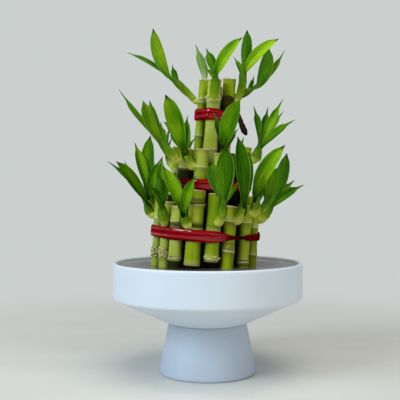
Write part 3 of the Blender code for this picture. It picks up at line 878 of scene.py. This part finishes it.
# A shoot leaves its cane at the foot (azimuth, height) and rises to its neck, where the
# leaves part. A leaf is its tip (x, y, z), its width and the azimuth that its face looks to.
Shoot = namedtuple("Shoot", "name cane azimuth height neck leaves")
SHOOTS = [
    Shoot("top_shoot_left", "tall_cane_left", -90, 215, (-29, -4, 232.5), [
        (-42.5, -13, 270, 10.5, 0), (-64, -2, 253.5, 8.0, 50), (-28, -1, 244, 5.0, 0)]),
    Shoot("top_shoot_pale", "tall_cane_left", 170, 222, (-4, 8, 238), [
        (-9.5, 12, 263, 6.6, -25), (-2, 16, 254, 6.0, 20)]),
    Shoot("top_shoot_front", "tall_cane_front", 5, 215, (6, -22, 231), [
        (-1.5, -26, 251.5, 7.5, -10), (26, -34, 258, 10.5, 0), (-3.5, -27, 237, 4.0, 0)]),
    Shoot("top_shoot_right", "tall_cane_right", 75, 215.5, (28, -8, 237.5), [
        (30.5, -14, 268.5, 10.0, -25), (55, -18, 260.5, 10.0, 20), (20.5, -2, 250, 4.5, 0)]),
    Shoot("top_shoot_back", "tall_cane_back", 100, 211, (41, 9, 227.5), [
        (49.5, 8, 260, 12.0, -5), (64.5, 22, 261, 5.0, 50), (37.5, 4, 236, 4.0, 0)]),
    Shoot("middle_shoot_left", "middle_cane_1", -85, 167, (-37, -16, 182), [
        (-68, -24, 220.5, 6.8, 35), (-48.5, -36, 210.5, 10.0, 0), (-45, -14, 213.5, 9.0, 10),
        (-37, -5, 198, 6.0, 20)]),
    Shoot("middle_shoot_front_left", "middle_cane_2", -70, 162, (-18, -31, 176), [
        (-31.5, -42, 214, 13.0, -5), (-15, -28, 200.5, 6.0, 0), (-31, -22, 191, 6.0, -20)]),
    Shoot("middle_shoot_front_right", "middle_cane_3", 20, 163, (11, -37, 179.5), [
        (23.5, -48, 209.5, 13.0, 5), (4, -42, 200.5, 6.0, -20), (23, -30, 190, 6.0, 0)]),
    Shoot("middle_shoot_right", "middle_cane_4", 80, 168, (40.5, -4, 179.5), [
        (35.5, -14, 209.5, 5.6, -20), (49, 8, 211.5, 6.0, 0), (59.5, -8, 216, 6.4, 20),
        (63, 18, 209.5, 5.0, 30), (68.5, -12, 199, 6.4, 30)]),
    Shoot("low_shoot_01", "low_cane_01", -95, 125, (-47.5, -10, 134.5), [
        (-77, -20, 166, 7.0, 40), (-69.5, -28, 165.5, 11.0, 10), (-66.5, 2, 167.5, 6.0, 0)]),
    Shoot("low_shoot_02", "low_cane_02", -15, 119, (-36, -33, 140.5), [
        (-35.5, -44, 154, 9.0, 0), (-27.5, -38, 152.5, 7.0, 0), (-34.5, -30, 169, 8.0, 0),
        (-42.5, -44, 147, 8.0, 20)]),
    Shoot("low_shoot_04", "low_cane_04", -50, 118, (-18.5, -48, 130), [
        (-32.5, -56, 160.5, 9.5, 0), (-9, -54, 153.5, 8.0, 15), (-24.5, -42, 158, 7.0, -10)]),
    Shoot("low_shoot_05", "low_cane_05", 30, 120, (9.5, -51, 141), [
        (0.5, -65, 162.5, 12.0, -15), (12.5, -60, 174.5, 14.0, 3), (25, -35.5, 151.5, 3.4, 60)]),
    Shoot("low_shoot_06", "low_cane_06", 60, 121, (25.5, -45, 141), [
        (21, -54, 182, 11.0, 0), (30, -40, 171.5, 10.0, -10)]),
    Shoot("low_shoot_07", "low_cane_07", 60, 126, (32, -35, 143.5), [
        (56.5, -44, 176.5, 12.0, 10), (47, -26, 161.5, 8.0, 0)]),
    Shoot("low_shoot_08", "low_cane_08", 85, 121, (51, -12, 136), [
        (60, -26, 172, 10.5, 0), (70, 2, 152.5, 6.0, 30), (75, -16, 148, 7.0, 45)]),
    Shoot("low_shoot_09", "low_cane_09", 95, 124, (47, 10, 139.5), [
        (46.5, 14, 169, 8.0, 0), (60, 22, 165, 9.0, 20), (63.5, 26, 146, 7.0, 40)]),
    Shoot("low_shoot_16", "low_cane_16", -105, 127, (-47, 7, 148.5), [
        (-59, 10, 183, 8.0, 0), (-46.5, 14, 189, 11.5, 0), (-36, 4, 171, 7.0, 0)]),
]

# A shoot at the back has the form of one at the front, turned round the bundle with its
# cane by so many degrees.
TurnedShoot = namedtuple("TurnedShoot", "name cane source height size angle")
TURNED_SHOOTS = [
    TurnedShoot("middle_shoot_6", "middle_cane_6", "middle_shoot_front_right", 166, 0.95, 157.0),
    TurnedShoot("middle_shoot_7", "middle_cane_7", "middle_shoot_left", 164, 0.92, 276.0),
    TurnedShoot("middle_shoot_8", "middle_cane_8", "middle_shoot_front_left", 163, 0.95, 286.0),
    TurnedShoot("low_shoot_10", "low_cane_10", "low_shoot_01", 123, 0.95, 201.2),
    TurnedShoot("low_shoot_11", "low_cane_11", "low_shoot_16", 128, 1.0, -113.0),
    TurnedShoot("low_shoot_12", "low_cane_12", "low_shoot_07", 126, 1.0, 115.1),
    TurnedShoot("low_shoot_14", "low_cane_14", "low_shoot_04", 124, 1.0, 224.0),
    TurnedShoot("low_shoot_15", "low_cane_15", "low_shoot_08", 122, 0.95, 157.2),
]

PALE_SHOOTS = ("top_shoot_pale",)

# Dried brown sheath scraps that hang from a shoot's foot: start, bend and end of each.
SCRAPS = {
    "top_shoot_right": [((23.5, -5, 214), (24, -9, 198), (30.5, -10, 187))],
}
SCRAP_RADII = [1.0, 0.8, 0.9, 0.7, 0.9, 1.4, 1.6, 2.1, 1.9, 2.5, 2.3, 2.6, 1.9, 0.9]

# How light each leaf of a shoot is, from 0 to 1.
LEAF_TONES = {
    "top_shoot_left": (0.60, 0.30, 0.24), "top_shoot_front": (0.36, 0.58, 0.50),
    "top_shoot_right": (0.16, 0.68, 0.30), "top_shoot_back": (0.26, 0.30, 0.16),
    "middle_shoot_left": (0.38, 0.52, 0.34, 0.34),
    "middle_shoot_front_left": (0.46, 0.24, 0.34),
    "middle_shoot_front_right": (0.36, 0.18, 0.24),
    "middle_shoot_right": (0.16, 0.18, 0.48, 0.36, 0.34),
    "low_shoot_01": (0.24, 0.30, 0.38), "low_shoot_02": (0.26, 0.24, 0.36, 0.32),
    "low_shoot_04": (0.44, 0.40, 0.22), "low_shoot_05": (0.32, 0.28, 0.46),
    "low_shoot_06": (0.14, 0.16), "low_shoot_07": (0.52, 0.20),
    "low_shoot_08": (0.24, 0.24, 0.26), "low_shoot_16": (0.46, 0.36, 0.34),
}
PLAIN_TONES = (0.40, 0.34, 0.46)

LEAF_ROWS = 46
LEAF_SIDES = 26
SHEATH_ROWS = 12
STEM_SIDES = 24
SCRAP_SIDES = 14
# Places along a stem, as shares of it: the length of a sheath, where the first leaf of a tier's
# shoots leaves the stem, and the step down to each next leaf.
SHEATH_REACH = 0.6
LEAF_ROOTS = {"top": 0.80, "middle": 0.60, "low": 0.50}
PALE_ROOT = 0.35
LEAF_ROOT_STEP = 0.08
# How far a leaf goes straight on before it bends to its tip, as a share of its length.
LEAF_REACH = 0.4
LEAF_THICKNESS = 0.26
RIB_HEIGHT = 0.22
CREASE = 0.30
TOP_PALENESS = 0.62
# Shoots whose stem and sheaths are slimmer than the others', as a share.
SLIM_SHOOTS = {"top_shoot_left": 0.74, "top_shoot_right": 0.85, "top_shoot_back": 0.8}
FACE_RISE = math.radians(35.0)
STEM_CLEAR = 1.86
WRAP_ANGLE = 2.75
STEM_RADIUS = 2.2


def root_share(shoot):
    """How far up its stem the first leaf of a shoot leaves it."""
    return PALE_ROOT if shoot.name in PALE_SHOOTS else LEAF_ROOTS[shoot.name.split("_")[0]]


def turned_shoot(entry):
    """The source's shoot, turned about Z and scaled about its foot, on another cane."""
    source = next(shoot for shoot in SHOOTS if shoot.name == entry.source)
    angle = math.radians(entry.angle)
    turn = np.array([[math.cos(angle), -math.sin(angle), 0.0],
                     [math.sin(angle), math.cos(angle), 0.0],
                     [0.0, 0.0, 1.0]]) * entry.size
    here = axis_at(CANES[source.cane], source.height)
    there = axis_at(CANES[entry.cane], entry.height)

    def moved(point):
        return there + turn @ (np.array(point, float) - here)

    leaves = [(*moved(leaf[:3]), leaf[3], leaf[4] + entry.angle) for leaf in source.leaves]
    return Shoot(entry.name, entry.cane, source.azimuth + entry.angle, entry.height,
                 moved(source.neck), leaves)


def stem_line(shoot):
    """The three points that guide a stem: at its cane's side, the bend, and the neck."""
    cane = CANES[shoot.cane]
    out = toward(shoot.azimuth)
    foot = axis_at(cane, shoot.height) + out * (cane.radius + STEM_CLEAR)
    neck = np.array(shoot.neck, float)
    reach = np.linalg.norm(neck - foot)
    return foot, foot + out * 0.22 * reach + np.array([0, 0, 0.28 * reach]), neck


def stem_skin(shoot, pale, seed):
    """A stem that swells into a cream heel where it leaves its cane, with scale rings."""
    chance = np.random.default_rng(seed)
    foot, bend, neck = stem_line(shoot)
    inward = foot - toward(shoot.azimuth) * 3.2 - np.array([0, 0, 1.0])
    t = np.linspace(0.0, root_share(shoot) + 0.03, 60)
    line = curve_points(foot, bend, neck, t)
    into = inward + (foot - inward) * np.linspace(0, 1, 6)[:, None]
    line = np.vstack([into[:-1], line])
    length = np.concatenate([[0], np.cumsum(np.linalg.norm(np.diff(line, axis=0), axis=1))])
    heel = 0.75 * hill(length - 3.2, 3.4)
    rings = np.array([4.2, 6.0, 8.2]) + chance.random(3)
    step = np.max(hill(length[:, None] - rings, 0.45), axis=1)
    radius = (STEM_RADIUS + 0.2 + heel + 0.16 * step) * SLIM_SHOOTS.get(shoot.name, 1.0)
    values = {
        "pale": (1.0 - 0.55 * eased((length - 4.0) / 9.0))[:, None],
        "ring": (step * 0.8)[:, None],
        "tone": 0.6 + 0.2 * chance.random(),
        "white": float(pale),
        "across": np.cos(circle(STEM_SIDES))[None, :] * 0.8,
        "along": (length / 60.0)[:, None],
    }
    return Skin(rod_rings(line, radius, STEM_SIDES), values)


def leaf_normals(blade, ahead, heading, tip_way, face):
    """The directions that the upper side looks to, from root to tip.

    At the root it looks to the stem, square to the blade; further on it turns to its own
    face, on whichever side is nearer.
    """
    share = np.linspace(0, 1, len(blade))
    away = across_from(tip_way, heading)
    natural = across_from(heading * 0.35 - away, ahead)
    look = toward(face) * math.cos(FACE_RISE) + np.array([0, 0, math.sin(FACE_RISE)])
    own = across_from(np.broadcast_to(look, blade.shape), ahead)
    middle = len(blade) // 2
    if np.dot(own[middle], natural[middle]) < -0.05:
        own = -own
    turn = eased(share / 0.45)[:, None]
    return across_from(natural * (1 - turn) + own * turn, ahead), natural


def leaf_skin(shoot, order, leaf, pale, seed):
    """A leaf as a flat closed tube along its rib.

    Each section is an arc: nearly a full ring round the stem in the sheath, and a shallow
    trough in the blade. The blade is w sin(pi t^p)^q wide, so it is widest past the middle: p
    is 1.45 to 1.75 by chance, and q is 0.68 for a wide leaf and up to 0.90 for a narrow one.
    Its tip is drawn in to half of that, and its root widens to clasp the stem.
    """
    chance = np.random.default_rng(seed)
    guide = stem_line(shoot)
    root_at = root_share(shoot) - LEAF_ROOT_STEP * order
    sheath_from = max(0.06, root_at - SHEATH_REACH)
    sheath_t = np.linspace(sheath_from, root_at, SHEATH_ROWS, endpoint=False)
    sheath = curve_points(*guide, sheath_t)
    root = curve_points(*guide, [root_at])[0]
    heading = unit((guide[1] - guide[0]) * (1 - root_at) + (guide[2] - guide[1]) * root_at)
    tip = np.array(leaf[:3], float)
    width, face = leaf[3:]
    reach = np.linalg.norm(tip - root)
    t = np.linspace(0, 1, LEAF_ROWS) ** 1.1
    blade = curve_points(root, root + heading * LEAF_REACH * reach, tip, t)
    line = np.vstack([sheath, blade])
    ahead = unit(np.gradient(line, axis=0))
    normal, natural = leaf_normals(blade, ahead[SHEATH_ROWS:], heading, tip - root, face)
    low = across_from(np.broadcast_to(natural[0], sheath.shape), ahead[:SHEATH_ROWS])
    normal = np.vstack([low, normal])
    side = np.cross(ahead, normal)
    along = np.concatenate([np.linspace(-0.25, 0, SHEATH_ROWS, endpoint=False), t])
    open_up = eased((along + 0.14) / 0.34)
    wrap = STEM_RADIUS + 0.35 + 0.28 * order + 0.7 * eased((along + 0.25) / 0.25)
    wrap = wrap * SLIM_SHOOTS.get(shoot.name, 1.0)
    out = np.clip(along, 0, 1)
    narrow = eased((10.0 - width) / 4.0)
    swell = np.sin(np.pi * out ** (1.45 + 0.3 * chance.random())) ** (0.68 + 0.22 * narrow)
    half_blade = width / 2 * swell * (1 - 0.5 * eased((out - 0.88 + 0.12 * narrow) / 0.11))
    clasp = min(3.6, 0.5 * width) * (1 - eased(out / 0.45))
    half_blade = np.maximum(np.hypot(half_blade, clasp), 0.12)
    half = WRAP_ANGLE * wrap * (1 - open_up) + half_blade * open_up
    bend = WRAP_ANGLE * (1 - open_up) + (1.0 - 0.68 * eased(out / 0.6)) * open_up
    offset = -wrap * (1 - eased(along / 0.3))
    angles = circle(LEAF_SIDES)[None, :]
    s = np.cos(angles)
    turn = s * bend[:, None]
    ring_radius = (half / bend)[:, None]
    thick = (LEAF_THICKNESS * (1 - 0.6 * out))[:, None] * np.sin(angles)
    rib = -RIB_HEIGHT * hill(s, 0.12) * (np.sin(angles) < 0) * (1 - out)[:, None]
    wave = 0.35 * np.sin(9.0 * along + 6.3 * chance.random())[:, None] * s ** 2
    wave = wave * (eased(along / 0.4) * (1 - along))[:, None]
    sideways = ring_radius * np.sin(turn) - np.sin(turn) * (thick + rib)
    upward = ring_radius * (1 - np.cos(turn)) + np.cos(turn) * (thick + rib) + wave
    crease = CREASE * half[:, None] * (np.sqrt(s ** 2 + 0.01) - 0.1) * open_up[:, None]
    upward = upward + crease + offset[:, None]
    rings = line[:, None, :] + side[:, None, :] * sideways[:, :, None] \
        + normal[:, None, :] * upward[:, :, None]
    paleness = TOP_PALENESS if shoot.name.startswith("top") else 1.0
    low_part = (1 - eased((along + 0.25) / 0.42)) * paleness
    tones = LEAF_TONES.get(shoot.name, PLAIN_TONES)
    brightness = tones[order % len(tones)] + 0.06 * (chance.random() - 0.5)
    # Painted light and shade: one half of each blade, on a side chosen by chance, is lighter than
    # the other.
    painted_light_half = 0.12 * np.sign(chance.random() - 0.5) * np.tanh(3.0 * s)
    # Painted shade: a leaf darkens toward its root.
    lit = 0.34 + 0.84 * eased((along - 0.02) / 0.5)
    values = {
        "across": s + 0 * along[:, None], "along": along[:, None],
        "tone": np.clip(brightness * lit[:, None] + painted_light_half, 0, 1),
        "under": (np.sin(angles) < -0.01) * 1.0, "lot": chance.random(),
        "rib": hill(s, 0.10) * (1 - along[:, None]).clip(0, 1),
        "edge": eased((np.abs(s) - 0.86) / 0.12) * eased(along[:, None] / 0.2),
        "pale": low_part[:, None],
        "white": pale * (1.0 - 0.8 * eased((along - 0.1) / 0.5))[:, None],
        "dry": (eased((along - 0.92) / 0.05) * (chance.random() < 0.8))[:, None],
    }
    return Skin(rings, values)


def shoot_skins(shoot, seed):
    """A shoot's stem, its scraps and its leaves, each leaf with its own chance."""
    pale = shoot.name in PALE_SHOOTS
    skins = [stem_skin(shoot, pale, seed)]
    for start, middle, end in SCRAPS.get(shoot.name, ()):
        guide = (np.array(point, float) for point in (start, middle, end))
        skins.append(round_skin(*guide, SCRAP_RADII, {"dry": 1.5, "tone": 0.0}, SCRAP_SIDES))
    for order, leaf in enumerate(shoot.leaves):
        skins.append(leaf_skin(shoot, order, leaf, pale, seed * 17 + order))
    return skins


# ---- settings -----------------------------------------------------------------------------

def colour_property(name, description, value):
    """A colour setting whose default is given as a display colour from 0 to 255."""
    return FloatVectorProperty(name=name, description=description, default=tint(*value)[:3],
                               subtype="COLOR", size=3, min=0.0, max=1.0)


def length_property(name, description, value):
    """A length setting whose default is given in millimetres."""
    return FloatProperty(name=name, description=description, default=value * MM,
                         subtype="DISTANCE", unit="LENGTH", precision=4)


class BowlSettings(bpy.types.PropertyGroup):
    """The bowl's, the stand's and the water's measures and colours"""
    wall: length_property("Wall", "Thickness of the bowl's wall", 3.2)
    band: length_property("Band", "Height of the upright band under the rim", 27.8)
    corner: length_property("Corner", "Radius of the band's lower corner", 2.5)
    neck: length_property("Neck", "Radius where the bowl meets its stand", 31.0)
    floor: length_property("Floor", "Thickness of the bowl's floor", 4.1)
    stand_wall: length_property("Stand wall", "Thickness of the stand's wall", 4.2)
    foot_edge: length_property("Foot edge", "Radius of the stand's rounded foot", 1.8)
    glaze_colour: colour_property("Glaze", "Colour of the bowl's glaze", (214, 223, 233))
    stand_colour: colour_property("Stand glaze", "Colour of the stand's glaze", (184, 197, 213))
    water_colour: colour_property("Water", "Colour of the water's depth", (144, 141, 128))


class PlantSettings(bpy.types.PropertyGroup):
    """The canes', the leaves' and the ribbon's colours"""
    seed: IntProperty(name="Seed", description="Start of the plant's small differences", default=5)
    cane_colour: colour_property("Cane", "Deeper green of the canes", (104, 132, 0))
    cane_light: colour_property("Cane light", "Lighter green of the canes", (184, 196, 36))
    leaf_colour: colour_property("Leaf", "Deeper green of the leaves", (30, 82, 0))
    leaf_light: colour_property("Leaf light", "Lighter green of the leaves", (78, 132, 0))
    ribbon_colour: colour_property("Ribbon", "Red of the ribbon", (164, 0, 12))


class StageSettings(bpy.types.PropertyGroup):
    """The floor, the wall behind and the camera"""
    floor_colour: colour_property("Floor", "Colour of the floor", (226, 224, 216))
    wall_colour: colour_property("Wall", "Colour of the wall behind", (203, 208, 206))
    lens: FloatProperty(name="Lens", description="Focal length", default=62.1, unit="CAMERA")


# ---- operators ----------------------------------------------------------------------------

class BAMBOO_OT_bowl(bpy.types.Operator):
    """Builds the glazed bowl and the stand under it"""
    bl_idname = "bamboo.bowl"
    bl_label = "Bowl and stand"

    def execute(self, context):
        settings = context.scene.bamboo_bowl
        for name, profile, colour in (("bowl", bowl_profile, settings.glaze_colour),
                                      ("stand", stand_profile, settings.stand_colour)):
            skin = turned_skin(densely(profile(settings), PROFILE_STEP))
            glaze = ceramic_finish(f"{name}_glaze", colour)
            make_piece(f"glazed_{name}", [name], [skin], glaze)
        return {"FINISHED"}


class BAMBOO_OT_water(bpy.types.Operator):
    """Fills the bowl with water round the canes"""
    bl_idname = "bamboo.water"
    bl_label = "Water"

    def execute(self, context):
        settings = context.scene.bamboo_bowl
        skin = turned_skin(water_profile(settings))
        make_piece("still_water", ["water"], [skin], water_finish(settings))
        return {"FINISHED"}


class BAMBOO_OT_canes(bpy.types.Operator):
    """Builds each cane with its joints, marks and cut ends"""
    bl_idname = "bamboo.canes"
    bl_label = "Canes"

    def execute(self, context):
        settings = context.scene.bamboo_plant
        finish = cane_finish(settings)
        for number, cane in enumerate(CANES.values()):
            seed = settings.seed + 31 * number
            skins = [cane_skin(cane, seed)]
            if cane.name in ROOT_BUDS:
                skins += bud_skins(cane, *ROOT_BUDS[cane.name], seed)
            if cane.name in COLLARS:
                skins.append(collar_skin(cane, *COLLARS[cane.name], seed))
            make_piece(f"{cane.name}_stem", [cane.name], skins, finish)
        return {"FINISHED"}


class BAMBOO_OT_ties(bpy.types.Operator):
    """Winds the red ribbon round each tier"""
    bl_idname = "bamboo.ties"
    bl_label = "Ribbon ties"

    def execute(self, context):
        settings = context.scene.bamboo_plant
        finish = ribbon_finish(settings)
        ties = (("low_tie", "low_cane", 0.6), ("middle_tie", "middle_cane", 0.8),
                ("top_tie", "tall_cane", 0.5))
        for number, (name, group, lift) in enumerate(ties):
            skin = tie_skin(name, group, lift, settings.seed + number)
            make_piece(f"{name}_ribbon", [name], [skin], finish)
        return {"FINISHED"}


class BAMBOO_OT_shoots(bpy.types.Operator):
    """Grows the leafy shoots"""
    bl_idname = "bamboo.shoots"
    bl_label = "Shoots"

    def execute(self, context):
        settings = context.scene.bamboo_plant
        finish = leaf_finish(settings)
        shoots = SHOOTS + [turned_shoot(entry) for entry in TURNED_SHOOTS]
        for number, shoot in enumerate(shoots):
            skins = shoot_skins(shoot, settings.seed + 101 * number)
            make_piece(f"{shoot.name}_leaves", [shoot.name], skins, finish)
        return {"FINISHED"}


CAMERA_PLACE = np.array([-6.0, -550.0, 136.2])
LAMP_TARGET = np.array([0.0, 0.0, 0.13])
BACKDROP_LIGHT = 0.42
COVE_START = 150.0
COVE_END = 520.0
FLOOR_RADIUS = 6000.0
FLOOR_SIDES = 64


def make_floor(settings):
    """A pale round floor that fades into the backdrop's colour away from the plant."""
    made = Finish("pale_floor")
    vein = made.spread(made.noise(made.place((1.0, 3.0, 1.0)), 9.0, 6.0), 0.3, 0.75)
    base = made.mix(vein * 0.35, (*settings.floor_colour, 1.0), tint(204, 202, 194))
    made.finished(Base_Color=base, Roughness=0.4)
    cove = {"Value": made.distance(), "From Min": COVE_START * MM, "From Max": COVE_END * MM}
    fade = made.node("ShaderNodeMapRange", {"interpolation_type": "SMOOTHSTEP"}, cove)
    glow = made.node("ShaderNodeEmission", {}, {"Color": (*settings.wall_colour, 1.0)})
    shader = Wire(made, made.shader.outputs[0])
    joined = made.node("ShaderNodeMixShader", {}, {0: fade, 1: shader, 2: glow})
    made.tree.links.new(joined.socket, made.tree.nodes["Material Output"].inputs["Surface"])
    angles = circle(FLOOR_SIDES)
    rim = MM * FLOOR_RADIUS * np.stack([np.cos(angles), np.sin(angles), 0 * angles], axis=1)
    mesh = bpy.data.meshes.new("floor")
    mesh.from_pydata(rim, [], [list(range(len(rim)))])
    mesh.materials.append(made.material)
    add_object("floor", mesh)


def make_lamp(name, place, size, power, colour, mirrored=True):
    """A soft square lamp that looks at the middle of the plant. Place and size in metres."""
    data = bpy.data.lights.new(name, "AREA")
    data.size = size
    data.energy = power
    data.color = colour
    lamp = add_object(name, data)
    lamp.location = place
    lamp.rotation_mode = "QUATERNION"
    lamp.rotation_quaternion = Vector(LAMP_TARGET - np.array(place)).to_track_quat("-Z", "Y")
    lamp.visible_glossy = mirrored


def make_backdrop(settings):
    """A pale wall colour all round, dimmer as a light than it looks."""
    world = bpy.data.worlds.new("backdrop")
    bpy.context.scene.world = world
    world.use_nodes = True
    tree = world.node_tree
    shown = tree.nodes["Background"]
    shown.inputs["Color"].default_value = (*settings.wall_colour, 1.0)
    dim = tree.nodes.new("ShaderNodeBackground")
    dim.inputs["Color"].default_value = tint(196, 204, 212)
    dim.inputs["Strength"].default_value = BACKDROP_LIGHT
    path = tree.nodes.new("ShaderNodeLightPath")
    choose = tree.nodes.new("ShaderNodeMixShader")
    tree.links.new(path.outputs["Is Camera Ray"], choose.inputs[0])
    tree.links.new(dim.outputs[0], choose.inputs[1])
    tree.links.new(shown.outputs[0], choose.inputs[2])
    tree.links.new(choose.outputs[0], tree.nodes["World Output"].inputs["Surface"])


class BAMBOO_OT_stage(bpy.types.Operator):
    """Sets the floor, the soft light and the camera"""
    bl_idname = "bamboo.stage"
    bl_label = "Stage"

    def execute(self, context):
        settings = context.scene.bamboo_stage
        make_floor(settings)
        make_backdrop(settings)
        make_lamp("window", (-0.9, -0.7, 0.75), 0.5, 10.5, (0.74, 0.88, 1.0))
        make_lamp("room", (0.8, -0.9, 0.6), 0.9, 3.0, (1.0, 0.97, 0.92), mirrored=False)
        make_lamp("ceiling", (0.1, -0.3, 1.3), 1.0, 9.5, (1.0, 0.98, 0.90))
        data = bpy.data.cameras.new("camera")
        data.lens = settings.lens
        camera = add_object("camera", data)
        camera.location = CAMERA_PLACE * MM
        camera.rotation_euler = (math.pi / 2, 0.0, 0.0)
        context.scene.camera = camera
        context.scene.view_settings.view_transform = "Standard"
        return {"FINISHED"}


class BAMBOO_PT_panel(bpy.types.Panel):
    bl_idname = "BAMBOO_PT_panel"
    bl_label = "Lucky bamboo"
    bl_space_type = "VIEW_3D"
    bl_region_type = "UI"
    bl_category = "Bamboo"

    def draw(self, context):
        for group in ("bamboo_bowl", "bamboo_plant", "bamboo_stage"):
            settings = getattr(context.scene, group)
            box = self.layout.box()
            for name in settings.__annotations__:
                box.prop(settings, name)
        for operator in OPERATORS:
            self.layout.operator(operator.bl_idname)


SETTINGS = {"bamboo_bowl": BowlSettings, "bamboo_plant": PlantSettings,
            "bamboo_stage": StageSettings}
OPERATORS = (BAMBOO_OT_stage, BAMBOO_OT_bowl, BAMBOO_OT_water, BAMBOO_OT_canes, BAMBOO_OT_ties,
             BAMBOO_OT_shoots)


def register():
    for made in (*SETTINGS.values(), *OPERATORS, BAMBOO_PT_panel):
        bpy.utils.register_class(made)
    for name, group in SETTINGS.items():
        setattr(bpy.types.Scene, name, PointerProperty(type=group))


def unregister():
    for name in SETTINGS:
        delattr(bpy.types.Scene, name)
    for made in reversed((*SETTINGS.values(), *OPERATORS, BAMBOO_PT_panel)):
        bpy.utils.unregister_class(made)


def main():
    register()
    bpy.ops.bamboo.stage()
    bpy.ops.bamboo.bowl()
    bpy.ops.bamboo.water()
    bpy.ops.bamboo.canes()
    bpy.ops.bamboo.ties()
    bpy.ops.bamboo.shoots()


if __name__ == "__main__":
    main()
